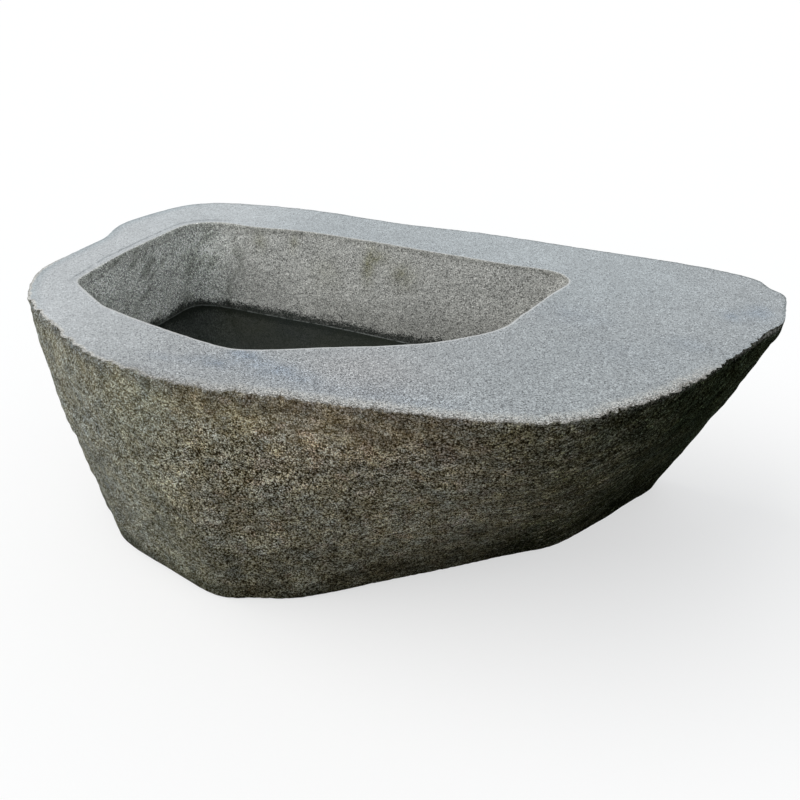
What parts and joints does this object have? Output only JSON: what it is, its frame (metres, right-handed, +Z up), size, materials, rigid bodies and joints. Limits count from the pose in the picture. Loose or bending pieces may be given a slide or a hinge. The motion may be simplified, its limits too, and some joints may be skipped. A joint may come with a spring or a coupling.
{
  "type": "stone trough planter",
  "caption": "Trough planter carved from one granite boulder: honed flat top, split sides, worked basin with standing water, and a drain closed by a rubber bung.",
  "frame": {"origin": "on the ground, under the middle of the bounding box", "axes": "+Z up; +X along the length towards the pointed end with the wide shelf; -Y towards the long rough side that the picture shows"},
  "size_m": [2, 1.1, 0.74],
  "materials": {
    "granite": "grey granite: honed top, bush-hammered basin, rough split sides with a brown patina",
    "water": null,
    "bung_rubber": "matt black moulded rubber",
    "eye_steel": "stainless steel",
    "ring_steel": "stainless steel wire"
  },
  "bodies": {
    "stone": {"trough_body": "granite", "standing_water": "water"},
    "bung": {"drain_bung": "bung_rubber", "bung_eye": "eye_steel"},
    "ring": {"pull_ring": "ring_steel"}
  },
  "joints": [
    {"name": "bung_lift", "type": "slide", "parent": "stone", "child": "bung", "axis": [0, 0, 1], "range_m": [0, 0.53], "deforming": ["standing_water"]},
    {"name": "ring_swing", "type": "hinge", "parent": "bung", "child": "ring", "pos_m": [-0.2, 0, 0.3266], "axis": [0, -1, 0], "range_deg": [0, 158]}
  ]
}
